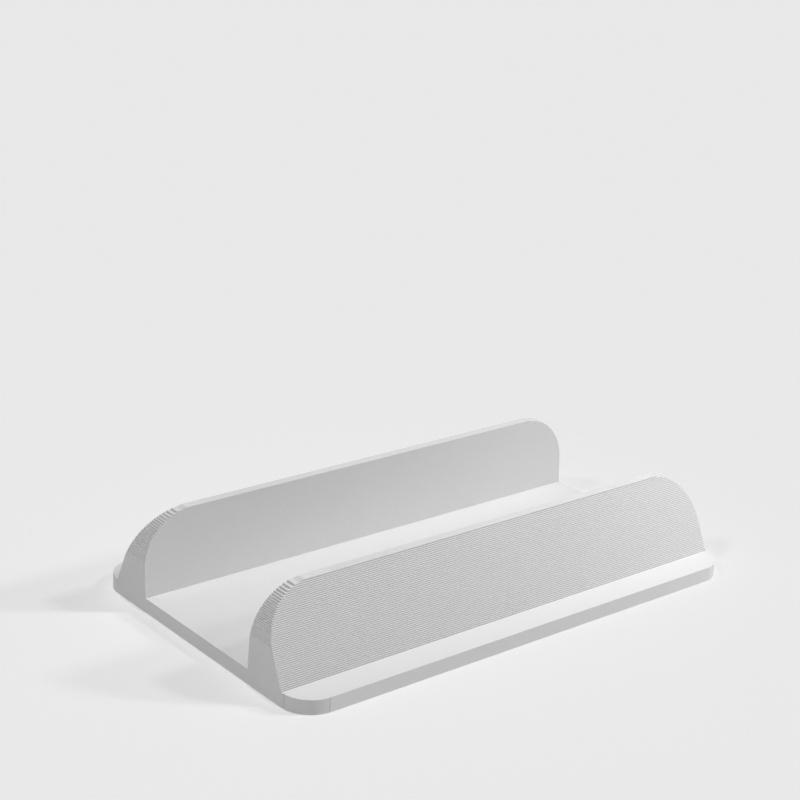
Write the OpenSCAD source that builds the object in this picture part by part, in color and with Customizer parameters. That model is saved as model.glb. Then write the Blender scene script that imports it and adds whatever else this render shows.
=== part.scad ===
// Desk stand that holds a small computer on its long edge between two walls.
// One printed piece: a thin base plate with two long walls that taper to a
// narrow top. The outer wall faces and the rounded wall ends climb in printed
// layers. Units are millimetres. X runs along the walls, Y across them and
// Z up. The origin is the centre of the underside.

/* [Channel for the computer] */
// Clear width between the walls at the channel floor
slot_w = 34.5; // [26:0.5:60]
// How much wider the channel is at the wall tops than at its floor
slot_flare = 2; // [0:0.5:4]

/* [Base plate] */
// Length of the base plate and of both walls
base_len = 110; // [80:5:180]
// Thickness of the base plate
base_t = 3; // [1.5:0.3:6]
// Width of the bare ledge outside each wall
ledge_w = 6.3; // [5:0.1:20]
// Radius of the base plate's upright corner edges
corner_r = 6.3; // [1:0.1:10]

/* [Walls] */
// Height of the walls above the base plate
wall_h = 16.5; // [13.5:0.3:36]
// Thickness of a wall where it meets the base plate
wall_foot_t = 10.45; // [8:0.05:18]
// Thickness of a wall at its top
wall_top_t = 2; // [1:0.1:4]
// Radius that rounds the top corners of the wall ends
end_r = 10.7; // [4:0.1:13]

/* [Print] */
// Height of one printed layer
layer_h = 0.34; // [0.2:0.02:0.6]

/* [Hidden] */
base_w = slot_w + 2 * wall_foot_t + 2 * ledge_w;
half_len = base_len / 2;
half_w = base_w / 2;
top_z = base_t + wall_h;

// The wall is made of whole layers, each as thick as layer_h or nearly so
layers = round(wall_h / layer_h);
layer_t = wall_h / layers;

// Outer and inner faces of a wall as distances from the middle of the channel
inner_foot_y = slot_w / 2;
inner_top_y = inner_foot_y + slot_flare / 2;
outer_foot_y = inner_foot_y + wall_foot_t;
outer_top_y = inner_top_y + wall_top_t;

// A layer whose end is set back less than this is left flush with the plate
least_set_back = 0.04;
// How far the crossed outlines run past each other so that they cut cleanly
run_past = 5;

body_colour = [0.9, 0.9, 0.89];

$fa = 4;
$fs = 0.4;

// Height of the underside of one layer
function layer_z(k) = base_t + k * layer_t;

// Distance of one layer's outer face from the middle of the channel
function layer_y(k) = outer_foot_y - (outer_foot_y - outer_top_y) * k / (layers - 1);

// How far the middle of a layer stands above the start of the end curve
function curve_rise(k) = max(0, (k + 0.5) * layer_t - (wall_h - end_r));

// How far the end curve lies inside the end of the plate at that height
function curve_set_back(k) = end_r - sqrt(end_r * end_r - curve_rise(k) * curve_rise(k));

// Half length of one layer, flush with the plate until the curve bites
function layer_x(k) = curve_set_back(k) < least_set_back ? half_len : half_len - curve_set_back(k);

// The lowest layer that is set back at its ends
first_back = min([for (k = [0 : layers - 1]) if (layer_x(k) < half_len) k]);

// Plan outline of the base plate with its rounded corners
module plan_outline() {
    square([base_len - 2 * corner_r, base_w], center = true);
    square([base_len, base_w - 2 * corner_r], center = true);
    for (side_x = [-1, 1]) {
        for (side_y = [-1, 1]) {
            translate([side_x * (half_len - corner_r), side_y * (half_w - corner_r)])
                circle(r = corner_r);
        }
    }
}

// Section across the whole stand: the plate and, on it, two walls with layers
// on their outer faces and a plane on their inner faces
module stand_section() {
    far_y = half_w + run_past;
    right_steps = [
        for (k = [0 : layers - 1])
            for (edge = [0, 1])
                [layer_y(k), layer_z(k + edge)]
    ];
    left_steps = [
        for (k = [layers - 1 : -1 : 0])
            for (edge = [1, 0])
                [-layer_y(k), layer_z(k + edge)]
    ];
    polygon(concat(
        [[-far_y, 0], [far_y, 0], [far_y, base_t]],
        right_steps,
        [[inner_top_y, top_z], [inner_foot_y, base_t]],
        [[-inner_foot_y, base_t], [-inner_top_y, top_z]],
        left_steps,
        [[-far_y, base_t]]
    ));
}

// Side view that rounds the wall ends, layer by layer, above the plate
module end_outline() {
    right_steps = [
        for (k = [first_back : layers - 1])
            for (edge = [0, 1])
                [layer_x(k), layer_z(k + edge)]
    ];
    left_steps = [
        for (k = [layers - 1 : -1 : first_back])
            for (edge = [1, 0])
                [-layer_x(k), layer_z(k + edge)]
    ];
    far_x = half_len + run_past;
    polygon(concat(
        [[-far_x, -run_past], [far_x, -run_past], [far_x, layer_z(first_back)]],
        right_steps,
        left_steps,
        [[-far_x, layer_z(first_back)]]
    ));
}

// The stand is what the plan, the section and the side view have in common
module stand() {
    color(body_colour)
    intersection() {
        linear_extrude(height = top_z + run_past)
            plan_outline();
        rotate([90, 0, 90])
            linear_extrude(height = base_len + 2 * run_past, center = true)
            stand_section();
        rotate([90, 0, 0])
            linear_extrude(height = base_w + 4 * run_past, center = true)
            end_outline();
    }
}

stand();
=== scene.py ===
"""Printed desk stand for a small computer: its surface, finish, floor, lights and camera.

The stand is one piece of layered plastic. Sizes are in millimetres until a mesh is built,
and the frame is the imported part's: X along the walls, Y across them, Z up, origin under
the middle of the base plate.
"""

import math

import bmesh
import bpy
import numpy as np
from mathutils import Matrix, Vector


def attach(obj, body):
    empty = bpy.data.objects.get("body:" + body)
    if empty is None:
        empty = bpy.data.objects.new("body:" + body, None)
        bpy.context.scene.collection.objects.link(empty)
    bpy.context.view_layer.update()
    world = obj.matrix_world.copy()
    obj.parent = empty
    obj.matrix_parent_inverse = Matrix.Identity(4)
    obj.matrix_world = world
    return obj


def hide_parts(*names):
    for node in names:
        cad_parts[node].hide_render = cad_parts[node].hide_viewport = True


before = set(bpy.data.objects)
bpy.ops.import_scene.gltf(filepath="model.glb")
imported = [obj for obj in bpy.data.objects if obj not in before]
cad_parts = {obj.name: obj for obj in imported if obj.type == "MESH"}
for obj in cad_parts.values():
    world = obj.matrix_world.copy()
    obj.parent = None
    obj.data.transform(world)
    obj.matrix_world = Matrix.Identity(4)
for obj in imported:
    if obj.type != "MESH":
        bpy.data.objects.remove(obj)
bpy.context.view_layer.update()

MM = 0.001

# Sizes of the printed stand, as in the part's source
BASE_LEN = 110.0
BASE_T = 3.0
CORNER_R = 6.3
INNER_FOOT_Y = 17.25
INNER_TOP_Y = 18.25
OUTER_FOOT_Y = 27.7
OUTER_TOP_Y = 20.25
LEDGE_W = 6.3
WALL_H = 16.5
END_R = 10.7
WALL_LAYERS = 49
BASE_LAYERS = 9
LEAST_SET_BACK = 0.04

HALF_LEN = BASE_LEN / 2
HALF_W = OUTER_FOOT_Y + LEDGE_W

# The groove between two printed layers, and how far layers wander from each other
GROOVE = 0.012
WANDER = 0.006
WANDER_SEED = 7

# How far the outer side of a layer slopes back from foot to top, on all layers but the last
OUTER_SLOPE = 0.11

# How far the end of a layer slopes back from foot to top: on most layers a share of the step
# to the next one, and on the last layer a length
END_SLOPE = 0.16
TOP_SLOPE = 0.94

# The lines laid side by side along a wall's top, the grooves between them and the plain
# stretch that they leave at each end
TOP_LINES = 5
TOP_GROOVE_W = 0.2
TOP_GROOVE_DEPTH = 0.2
TOP_MARGIN = 0.3

# The two upright marks that the starts of the printed loops leave at the front left corner:
# how far along its arc each one is, its width and its depth
SEAM_QUARTER = 2
SEAM_RUNS = (0.75, 9.7)
SEAM_W = 0.22
SEAM_DEPTH = 0.26

# The first layer's edge draws in under the same corner, by this much at the middle of its arc
UNDERCUT = 0.16

# Signs of x and y in each quarter of the plan, counter-clockwise
QUARTER_SIDES = ((1.0, 1.0), (-1.0, 1.0), (-1.0, -1.0), (1.0, -1.0))

# Straight steps along each rounded corner of the plan
ARC_STEPS = 20

# Places of a wall's columns along its length, from -1 at one end to 1 at the other: one at each
# end, and the inner ones spread evenly between two that lie close to the ends
CLOSE_TO_END = 0.985
INNER_COLUMNS = 12
WALL_ALONG = np.concatenate([[-1.0], np.linspace(-CLOSE_TO_END, CLOSE_TO_END, INNER_COLUMNS), [1.0]])
WALL_COLUMNS = len(WALL_ALONG)

# Points closer than this are joined, and edges that bend by more degrees than this are crisp
JOIN_WITHIN = 0.0002
CRISP_ANGLE = 25.0

# Colours of the plastic: the two that its mottling runs between. Then a painted highlight for the
# upper half and painted shade for the lower half of a stepped layer, standing in for the light on its
# rounded edge and the shade in the groove at its foot
MOTTLE = ("#E6E6E6", "#E9E9E9")
PAINTED_LAYER_HIGHLIGHT = "#F0F0F0"
PAINTED_LAYER_SHADE = "#C3C3C3"

# The painted highlight and shade of the layers show on a rounded end where its layers are set back by
# at least this much, and with this share of the outer faces' contrast
PAINTED_SHADE_SET_BACK = 0.12
END_SHARE = 0.6

# A face is flat where its normal's z is above the first, and an end where its x is beyond the
# second
FLAT_FACING = 0.9
END_FACING = 0.5

# Width of the lines that fill a flat face, the height of their ripple, and the length of one
# wave of the wave texture at a scale of 1
LINE_W = 0.42
RIPPLE = 0.002
WAVE_LENGTH = math.pi / 10

# Width and height of the skin's grain, and width of the patches that the melt's flow leaves
GRAIN_W = 0.2
GRAIN = 0.0003
FLOW_W = 4.0

# The plastic's refractive index, and its roughness at the two ends of the noise's usual span
PLA_IOR = 1.46
ROUGHNESS = (0.56, 0.68)
NOISE_SPAN = (0.3, 0.7)

# Half the floor's width, and how far the floor lies under the stand
FLOOR_HALF = 4000.0
FLOOR_DROP = 0.01

# The camera's azimuth, elevation and roll in degrees, its lens in millimetres and its place in
# metres
CAMERA_TURN = (-39.9654, 19.9238, 2.9211)
CAMERA_LENS = 85.261
CAMERA_PLACE = (-0.231207, -0.266422, 0.166264)

# Height of the point that the lights face
AIM_HEIGHT = 10.0

# Lights far away: name, azimuth, elevation and width in the sky in degrees, and strength
FAR_LIGHTS = (
    ("key_low", -33.0, 25.0, 6.0, 0.65),
    ("key_high", -33.0, 40.0, 6.0, 0.48),
    ("overhead", 0.0, 89.0, 8.0, 1.15),
    ("left", 172.0, 45.0, 8.0, 0.36),
    ("back", 90.0, 40.0, 70.0, 0.44),
)

# Panels close by: name, azimuth and elevation in degrees, distance, and power in watts
NEAR_PANELS = (
    ("near_above", -35.0, 60.0, 140.0, 0.046),
    ("near_front", -40.0, 12.0, 100.0, 0.0058),
)


# Meshes


def as_object(name, points_mm, faces):
    """A mesh object at the origin from points in millimetres and faces of any size."""
    mesh = bpy.data.meshes.new(name)
    mesh.from_pydata((np.asarray(points_mm) * MM).tolist(), [], faces)
    piece = bpy.data.objects.new(name, mesh)
    bpy.context.scene.collection.objects.link(piece)
    return piece


def tube_faces(first, rings, columns):
    """Quads that join each ring of a tube to the next; the ring's last column meets its first."""
    i, j = np.meshgrid(np.arange(rings - 1), np.arange(columns), indexing="ij")
    here = first + i * columns + j
    side = first + i * columns + (j + 1) % columns
    return np.stack([here, side, side + columns, here + columns], axis=-1).reshape(-1, 4).tolist()


def grid_faces(numbers):
    """Quads between the rows and columns of a grid of point numbers."""
    corners = [numbers[:-1, :-1], numbers[:-1, 1:], numbers[1:, 1:], numbers[1:, :-1]]
    return np.stack(corners, axis=-1).reshape(-1, 4).tolist()


def at_heights(plan, z):
    """Rings of x and y with one height for each ring added to its points."""
    rings, columns = plan.shape[:2]
    return np.concatenate([plan, np.broadcast_to(z[:, None, None], (rings, columns, 1))], axis=-1)


def ring_levels(layers, low, step):
    """The layer, height, inset and share of the layer's height of each ring, four to a layer.

    A layer starts at the bottom of a groove, reaches its full outline one groove width
    higher, keeps it, and draws in again to the bottom of the next groove at its top.
    """
    k = np.repeat(np.arange(layers), 4)
    rise = np.tile([0.0, GROOVE, step - GROOVE, step], layers)
    inset = np.tile([GROOVE, 0.0, 0.0, GROOVE], layers)
    return k, low + k * step + rise, inset, rise / step


def corner_arc(quarter, inset):
    """One rounded corner of the plate's plan, drawn in by inset, as x and y columns.

    An arc of radius CORNER_R - inset about the corner's centre. The front left corner also
    carries two narrow upright grooves, where printed loops start and stop, and its lowest
    ring draws in by UNDERCUT times the sine of twice the angle along the arc.
    """
    turn = np.linspace(0.0, math.pi / 2, ARC_STEPS + 1)
    depth = np.zeros_like(turn)
    if quarter == SEAM_QUARTER:
        half = SEAM_W / 2 / CORNER_R
        marks = np.array([[at - half, at, at + half] for at in np.array(SEAM_RUNS) / CORNER_R])
        # The arc's own points give way to a mark's within one and a half times its half width
        clear = np.all(np.abs(turn[:, None] - marks[:, 1]) > 1.5 * half, axis=1)
        turn = np.concatenate([turn[clear], marks.ravel()])
        depth = np.concatenate([depth[clear], np.tile([0.0, SEAM_DEPTH, 0.0], len(marks))])
        order = np.argsort(turn)
        turn, depth = turn[order], depth[order]
        depth = np.tile(depth, (len(inset), 1))
        depth[0] += UNDERCUT * np.sin(2 * turn)
    angle = turn + quarter * math.pi / 2
    side_x, side_y = QUARTER_SIDES[quarter]
    radius = CORNER_R - inset - depth
    x = side_x * (HALF_LEN - CORNER_R) + radius * np.cos(angle)
    y = side_y * (HALF_W - CORNER_R) + radius * np.sin(angle)
    return x, y


def base_outline(inset):
    """Plan of the base plate, counter-clockwise, drawn in by inset (one value for each ring).

    Four corner arcs joined by straight sides. The short sides also carry the corners of the
    two walls that stand flush with them.
    """
    inset = np.asarray(inset)[:, None]
    columns = []
    wall_y = np.array([-INNER_FOOT_Y - GROOVE, INNER_FOOT_Y + GROOVE, OUTER_FOOT_Y - GROOVE])
    for quarter, (side_x, side_y) in enumerate(QUARTER_SIDES):
        before = wall_y * side_y if quarter in (0, 2) else wall_y[:0]
        after = wall_y[2:] * side_y if quarter in (1, 3) else wall_y[:0]
        for x, y in (
            np.broadcast_arrays(side_x * (HALF_LEN - inset), before),
            corner_arc(quarter, inset),
            np.broadcast_arrays(side_x * (HALF_LEN - inset), after),
        ):
            columns.append(np.stack([x, y], axis=-1))
    return np.concatenate(columns, axis=1)


def wall_outline(k, up, inset, wander):
    """Plan of one printed layer of the wall on the +Y side, for each ring, counter-clockwise.

    A rectangle. From the first layer to the last its outer side steps in evenly and its inner
    side leans back evenly. Its ends are set back as a quarter circle: END_R less the root of
    END_R squared less the square of the height of the layer's middle above the arc's start,
    and nothing where that is less than LEAST_SET_BACK. Going up one layer, the outer side
    slopes back by OUTER_SLOPE and the ends by END_SLOPE times the next step. The last layer
    has an upright outer side and ends that slope back by TOP_SLOPE.
    """
    share = k / (WALL_LAYERS - 1)
    step = WALL_H / WALL_LAYERS
    outer = OUTER_FOOT_Y + (OUTER_TOP_Y - OUTER_FOOT_Y) * share
    inner = INNER_FOOT_Y + (INNER_TOP_Y - INNER_FOOT_Y) * share
    rise = np.clip((k + 0.5) * step - (WALL_H - END_R), 0.0, None)
    back = END_R - np.sqrt(END_R**2 - rise**2)
    back = np.where(back < LEAST_SET_BACK, 0.0, back)
    next_step = np.append(np.diff(back[::4]), 0.0)[k]
    half = HALF_LEN - back - up * END_SLOPE * next_step - inset - wander
    half[-2:] -= TOP_SLOPE
    outer = outer - inset - OUTER_SLOPE * up * (k < WALL_LAYERS - 1)
    inner = inner + inset
    inner_x = half[:, None] * WALL_ALONG
    outer_x = half[:, None] * WALL_ALONG[::-1]
    x = np.concatenate([inner_x, outer_x], axis=1)
    y = np.repeat(np.stack([inner, outer], axis=1), WALL_COLUMNS, axis=1)
    return np.stack([x, y], axis=-1)


def wall_top(inner, outer):
    """Rows of points across a wall's top, between the last ring's inner and outer row.

    Flat lines with a V-shaped groove between each and the next. A row lies between the two
    given ones by its share of the width. The grooves end TOP_MARGIN short of the wall's ends.
    """
    middle = np.arange(1, TOP_LINES) / TOP_LINES
    lip = TOP_GROOVE_W / 2 / np.linalg.norm(outer[0] - inner[0])
    share = np.stack([middle - lip, middle, middle + lip], axis=1).ravel()
    depth = np.tile([0.0, TOP_GROOVE_DEPTH, 0.0], len(middle))
    rows = inner + share[:, None, None] * (outer - inner)
    rows[:, 1:-1, 2] -= depth[:, None]
    towards_middle = np.sign(inner[1, 0] - inner[0, 0])
    rows[:, 0, 0] += TOP_MARGIN * towards_middle
    rows[:, -1, 0] -= TOP_MARGIN * towards_middle
    return rows


def plate_rings():
    """Rings up the side of the base plate, from its underside to its top."""
    _, z, inset, _ = ring_levels(BASE_LAYERS, 0.0, BASE_T / BASE_LAYERS)
    # The underside has no groove, and the undercut above it is as high as it is deep
    inset[0] = 0.0
    z[1] = UNDERCUT
    # The bottom of a groove is one ring, which the layers above and below it share
    apart = np.r_[True, np.any(np.diff(np.c_[z, inset], axis=0), axis=1)]
    return at_heights(base_outline(inset)[apart], z[apart])


def wall_rings():
    """Rings up the wall on the +Y side, from its foot on the plate to its top."""
    k, z, inset, up = ring_levels(WALL_LAYERS, BASE_T, WALL_H / WALL_LAYERS)
    wander = np.random.default_rng(WANDER_SEED).uniform(0.0, WANDER, WALL_LAYERS)[k]
    # The lowest ring stays flush with the ends of the plate
    wander[0] = 0.0
    return at_heights(wall_outline(k, up, inset, wander), z)


def print_surface():
    """The whole stand as one closed surface.

    A stack of rings makes the base plate's side and another makes each wall. Flat faces
    close the underside, both ledges, the channel floor and the wall tops. Points that meet
    are left apart here, and stand_piece joins them.
    """
    plate = plate_rings()
    rings, columns = plate.shape[:2]
    points = [plate.reshape(-1, 3)]
    faces = tube_faces(0, rings, columns)
    faces.append(list(range(columns))[::-1])
    count = rings * columns
    top = np.arange(count - columns, count)

    far_wall = wall_rings()
    rings, columns = far_wall.shape[:2]
    foot = []
    for side in (1.0, -1.0):
        wall = far_wall * [side, side, 1.0]
        faces += tube_faces(count, rings, columns)
        foot.append(count + np.arange(columns))
        count += rings * columns
        last = np.arange(count - columns, count)
        top_rows = wall_top(wall[-1, :WALL_COLUMNS], wall[-1, :WALL_COLUMNS - 1:-1])
        points += [wall.reshape(-1, 3), top_rows.reshape(-1, 3)]
        between = count + np.arange(top_rows[..., 0].size).reshape(-1, WALL_COLUMNS)
        across = np.concatenate([last[None, :WALL_COLUMNS], between, last[None, :WALL_COLUMNS - 1:-1]])
        faces += grid_faces(across)
        faces += [across[::-1, 0].tolist(), across[:, -1].tolist()]
        count += between.size

    # Ledges: the outer foot line of a wall and the run of the plate's edge beside it
    edge_y = plate[-1, :, 1]
    on_far = np.flatnonzero(edge_y > OUTER_FOOT_Y - GROOVE / 2)
    on_near = np.flatnonzero(edge_y < -OUTER_FOOT_Y + GROOVE / 2)
    faces.append([*top[on_far], *foot[0][:WALL_COLUMNS - 1:-1]])
    faces.append([*top[on_near], *foot[1][:WALL_COLUMNS - 1:-1]])
    # Channel floor between the inner foot lines of the walls
    faces.append([*foot[0][:WALL_COLUMNS], *foot[1][:WALL_COLUMNS]])
    return np.concatenate(points), faces


def stand_piece():
    """The printed stand: its surface, its joined points and its crisp edges."""
    points, faces = print_surface()
    piece = as_object("printed_stand", points, faces)
    work = bmesh.new()
    work.from_mesh(piece.data)
    bmesh.ops.remove_doubles(work, verts=work.verts, dist=JOIN_WITHIN * MM)
    bmesh.ops.recalc_face_normals(work, faces=work.faces)
    work.to_mesh(piece.data)
    work.free()
    piece.data.polygons.foreach_set("use_smooth", [True] * len(piece.data.polygons))
    piece.data.set_sharp_from_angle(angle=math.radians(CRISP_ANGLE))
    return piece


# Materials


def linear(hex_colour):
    """An sRGB hex colour as linear red, green, blue and alpha."""
    parts = np.array([int(hex_colour[i:i + 2], 16) for i in (1, 3, 5)]) / 255
    parts = np.where(parts <= 0.04045, parts / 12.92, ((parts + 0.055) / 1.055) ** 2.4)
    return (*parts.tolist(), 1.0)


def add(tree, kind, settings=None, **links):
    """A new node of one kind, with its settings made and its sockets linked or set.

    A socket is named with _ for each space, or by its number after one _.
    """
    node = tree.nodes.new(kind)
    for key, value in (settings or {}).items():
        setattr(node, key, value)
    for key, value in links.items():
        number = key[1:]
        socket = node.inputs[int(number) if number.isdigit() else key.replace("_", " ")]
        if isinstance(value, bpy.types.NodeSocket):
            tree.links.new(value, socket)
        else:
            socket.default_value = value
    return node


def new_material(name):
    """An empty node material and its tree."""
    material = bpy.data.materials.new(name)
    material.use_nodes = True
    material.node_tree.nodes.clear()
    return material, material.node_tree


def per_metre(size_mm):
    """The Scale of a noise whose features are about this many millimetres across."""
    return 1.0 / (size_mm * MM)


def painted_shading_places(tree, place, facing):
    """Two values: how much a place gets the layers' painted highlight and shade, and its height in
    that layer.

    The first is 1 on the outer faces, END_SHARE on the rounded ends and 0 elsewhere. Both lie
    above the plate. An outer face's normal points away from the channel, which makes y times
    the normal's y large, and a rounded end lies inside the end of the plate. The height runs
    from 0 at a layer's foot to 1 at its top.
    """
    at = add(tree, "ShaderNodeSeparateXYZ", Vector=place)
    along = add(tree, "ShaderNodeMath", {"operation": "ABSOLUTE"}, _0=at.outputs["X"])
    set_back = add(
        tree, "ShaderNodeMath", {"operation": "LESS_THAN"},
        _0=along.outputs["Value"], _1=(HALF_LEN - PAINTED_SHADE_SET_BACK) * MM,
    )
    endward = add(tree, "ShaderNodeMath", {"operation": "ABSOLUTE"}, _0=facing.outputs["X"])
    end = add(
        tree, "ShaderNodeMath", {"operation": "GREATER_THAN"},
        _0=endward.outputs["Value"], _1=END_FACING,
    )
    end_share = add(
        tree, "ShaderNodeMath", {"operation": "MULTIPLY"}, _0=end.outputs["Value"], _1=END_SHARE,
    )
    rounded = add(
        tree, "ShaderNodeMath", {"operation": "MULTIPLY"},
        _0=set_back.outputs["Value"], _1=end_share.outputs["Value"],
    )
    outward = add(
        tree, "ShaderNodeMath", {"operation": "MULTIPLY"}, _0=at.outputs["Y"], _1=facing.outputs["Y"],
    )
    outer = add(
        tree, "ShaderNodeMath", {"operation": "GREATER_THAN"},
        _0=outward.outputs["Value"], _1=OUTER_TOP_Y * MM / 2,
    )
    either = add(
        tree, "ShaderNodeMath", {"operation": "MAXIMUM"},
        _0=outer.outputs["Value"], _1=rounded.outputs["Value"],
    )
    rise = add(
        tree, "ShaderNodeMath", {"operation": "SUBTRACT"}, _0=at.outputs["Z"], _1=BASE_T * MM,
    )
    above = add(
        tree, "ShaderNodeMath", {"operation": "GREATER_THAN"}, _0=rise.outputs["Value"], _1=0.0,
    )
    painted_light_share = add(
        tree, "ShaderNodeMath", {"operation": "MULTIPLY"},
        _0=either.outputs["Value"], _1=above.outputs["Value"],
    )
    layers = add(
        tree, "ShaderNodeMath", {"operation": "DIVIDE"},
        _0=rise.outputs["Value"], _1=WALL_H / WALL_LAYERS * MM,
    )
    in_layer = add(tree, "ShaderNodeMath", {"operation": "FRACT"}, _0=layers.outputs["Value"])
    return painted_light_share.outputs["Value"], in_layer.outputs["Value"]


def printed_plastic():
    """Matt white PLA, laid down in lines by a hot nozzle.

    The white pigment makes it opaque, and the fresh melt sets with a chalky skin, so the eye
    sees an even, soft white with no clear reflection. The layers and the lines along the wall
    tops are in the mesh. Where the walls are stepped, the upper half of a layer's rounded edge
    catches more light than its foot, which lies in the groove: that edge is too fine to show,
    so its light and shade are painted into the colour, as a painted highlight on the upper half
    and painted shade on the lower half. Flat faces are filled with lines laid side by side at
    45 degrees, here a faint ripple. The melt's uneven flow gives a slight mottling. The skin's
    own grain is a few hundredths of a millimetre wide, and is drawn at GRAIN_W to show.
    """
    material, tree = new_material("matt_white_pla")
    coordinates = add(tree, "ShaderNodeTexCoord")
    place = coordinates.outputs["Object"]
    facing = add(tree, "ShaderNodeSeparateXYZ", Vector=coordinates.outputs["Normal"])
    flat = add(
        tree, "ShaderNodeMath", {"operation": "GREATER_THAN"}, _0=facing.outputs["Z"], _1=FLAT_FACING,
    )

    turned = add(tree, "ShaderNodeMapping", Vector=place, Rotation=(0.0, 0.0, math.radians(45)))
    lines = add(
        tree, "ShaderNodeTexWave", Vector=turned.outputs["Vector"],
        Scale=WAVE_LENGTH * per_metre(LINE_W), Distortion=0.4, Detail=1.0,
    )
    ripple = add(
        tree, "ShaderNodeMath", {"operation": "MULTIPLY"},
        _0=lines.outputs["Fac"], _1=flat.outputs["Value"],
    )
    grain = add(tree, "ShaderNodeTexNoise", Vector=place, Scale=per_metre(GRAIN_W), Detail=2.0)
    rippled = add(
        tree, "ShaderNodeBump", Strength=1.0, Distance=RIPPLE * MM, Height=ripple.outputs["Value"],
    )
    bumped = add(
        tree, "ShaderNodeBump", Strength=1.0, Distance=GRAIN * MM,
        Height=grain.outputs["Fac"], Normal=rippled.outputs["Normal"],
    )
    flow = add(
        tree, "ShaderNodeTexNoise", Vector=place, Scale=per_metre(FLOW_W), Detail=3.0, Roughness=0.6,
    )
    plain = add(
        tree, "ShaderNodeMix", {"data_type": "RGBA"},
        _0=flow.outputs["Fac"], _6=linear(MOTTLE[0]), _7=linear(MOTTLE[1]),
    )
    # Stepped layers: a painted highlight on each layer's upper half and painted shade on its lower
    # half, in place of the light and shade of its rounded edge
    painted_light_share, in_layer = painted_shading_places(tree, place, facing)
    painted_shade_half = add(tree, "ShaderNodeMath", {"operation": "LESS_THAN"}, _0=in_layer, _1=0.5)
    painted_layer_light = add(
        tree, "ShaderNodeMix", {"data_type": "RGBA"},
        _0=painted_shade_half.outputs["Value"], _6=linear(PAINTED_LAYER_HIGHLIGHT), _7=linear(PAINTED_LAYER_SHADE),
    )
    colour = add(
        tree, "ShaderNodeMix", {"data_type": "RGBA"},
        _0=painted_light_share, _6=plain.outputs[2], _7=painted_layer_light.outputs[2],
    )
    skin = add(
        tree, "ShaderNodeMapRange", Value=flow.outputs["Fac"],
        From_Min=NOISE_SPAN[0], From_Max=NOISE_SPAN[1], To_Min=ROUGHNESS[0], To_Max=ROUGHNESS[1],
    )
    shader = add(
        tree, "ShaderNodeBsdfPrincipled", Base_Color=colour.outputs[2],
        Roughness=skin.outputs["Result"], IOR=PLA_IOR, Normal=bumped.outputs["Normal"],
    )
    add(tree, "ShaderNodeOutputMaterial", Surface=shader.outputs["BSDF"])
    return material


def studio_floor():
    """Seamless pale paper with a little light through it from behind."""
    material, tree = new_material("pale_studio_floor")
    shader = add(
        tree, "ShaderNodeBsdfPrincipled", Base_Color=linear("#E7E7E7"), Roughness=1.0,
        Specular_IOR_Level=0.0, Emission_Color=linear("#FFFFFF"), Emission_Strength=0.235,
    )
    add(tree, "ShaderNodeOutputMaterial", Surface=shader.outputs["BSDF"])
    material.cycles.emission_sampling = "NONE"
    return material


# Studio


def set_floor(material):
    """A square of floor just under the stand, far wider than the view."""
    corners = [(-1.0, -1.0), (1.0, -1.0), (1.0, 1.0), (-1.0, 1.0)]
    points = [(x * FLOOR_HALF, y * FLOOR_HALF, -FLOOR_DROP) for x, y in corners]
    floor = as_object("studio_floor", points, [[0, 1, 2, 3]])
    floor.data.materials.append(material)


def set_camera():
    """The photograph's view: from the left front, a little above, turned slightly on its axis."""
    azimuth, elevation, roll = (math.radians(a) for a in CAMERA_TURN)
    back = Vector((
        math.sin(azimuth) * math.cos(elevation),
        -math.cos(azimuth) * math.cos(elevation),
        math.sin(elevation),
    ))
    right = Vector((math.cos(azimuth), math.sin(azimuth), 0.0))
    up = back.cross(right)
    turned_right = right * math.cos(roll) + up * math.sin(roll)
    turned_up = up * math.cos(roll) - right * math.sin(roll)
    facing = Matrix((turned_right, turned_up, back)).transposed()
    camera = bpy.data.objects.new("camera", bpy.data.cameras.new("camera"))
    camera.data.sensor_width = 36.0
    camera.data.lens = CAMERA_LENS
    camera.data.clip_start = 0.01
    camera.data.clip_end = 20.0
    camera.matrix_world = Matrix.Translation(CAMERA_PLACE) @ facing.to_4x4()
    bpy.context.scene.collection.objects.link(camera)
    bpy.context.scene.camera = camera


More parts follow.
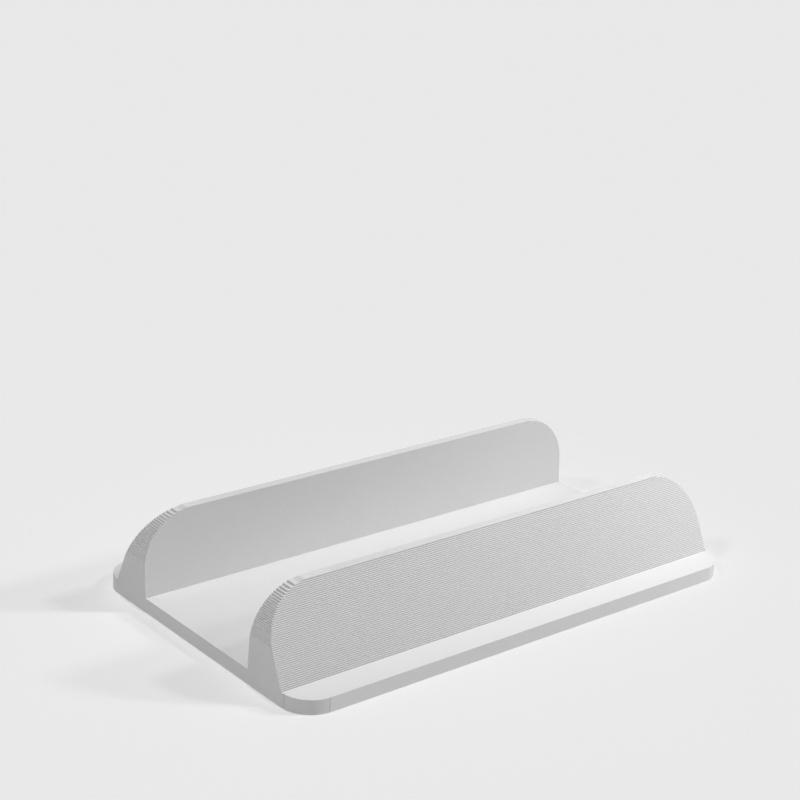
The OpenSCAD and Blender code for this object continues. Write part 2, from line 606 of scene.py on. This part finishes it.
def towards(azimuth, elevation):
    """The unit direction at an azimuth, from +X towards +Y, and an elevation, both in degrees."""
    a, e = math.radians(azimuth), math.radians(elevation)
    return Vector((math.cos(a) * math.cos(e), math.sin(a) * math.cos(e), math.sin(e)))


def add_lamp(name, kind, azimuth, elevation, distance, energy):
    """A lamp in the given direction from the stand, at a distance in metres, turned to face it."""
    lamp = bpy.data.lights.new(name, kind)
    lamp.energy = energy
    light = bpy.data.objects.new(name, lamp)
    light.location = Vector((0.0, 0.0, AIM_HEIGHT * MM)) + towards(azimuth, elevation) * distance
    light.rotation_euler = towards(azimuth, elevation).to_track_quat("Z", "Y").to_euler()
    bpy.context.scene.collection.objects.link(light)
    return light


def add_far_light(name, azimuth, elevation, width, strength):
    """A soft light far away, width being the angle that it takes up in the sky.

    Only its direction counts, so its object lies one metre off.
    """
    light = add_lamp(name, "SUN", azimuth, elevation, 1.0, strength)
    light.data.angle = math.radians(width)


def add_near_panel(name, azimuth, elevation, distance, power, only):
    """A small square panel close by, a third as wide as its distance, that lights one collection."""
    light = add_lamp(name, "AREA", azimuth, elevation, distance * MM, power)
    light.data.shape = "SQUARE"
    light.data.size = distance * MM / 3
    light.light_linking.receiver_collection = only


def set_lights(piece):
    """Soft light, most of it from above and from the front right, and a pale surround."""
    world = bpy.data.worlds.new("studio")
    bpy.context.scene.world = world
    world.use_nodes = True
    shade = world.node_tree.nodes["Background"]
    shade.inputs["Color"].default_value = linear("#EBEBEB")
    # The surround is there to be seen behind the floor, and lights nothing
    world.cycles_visibility.diffuse = False
    world.cycles_visibility.glossy = False

    for far_light in FAR_LIGHTS:
        add_far_light(*far_light)

    lit = bpy.data.collections.new("lit_from_near")
    lit.objects.link(piece)
    for near_panel in NEAR_PANELS:
        add_near_panel(*near_panel, lit)


set_camera()
stand = stand_piece()
stand.data.materials.append(printed_plastic())
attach(stand, "root")
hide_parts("stand")
set_floor(studio_floor())
set_lights(stand)
bpy.context.scene.view_settings.view_transform = "Standard"
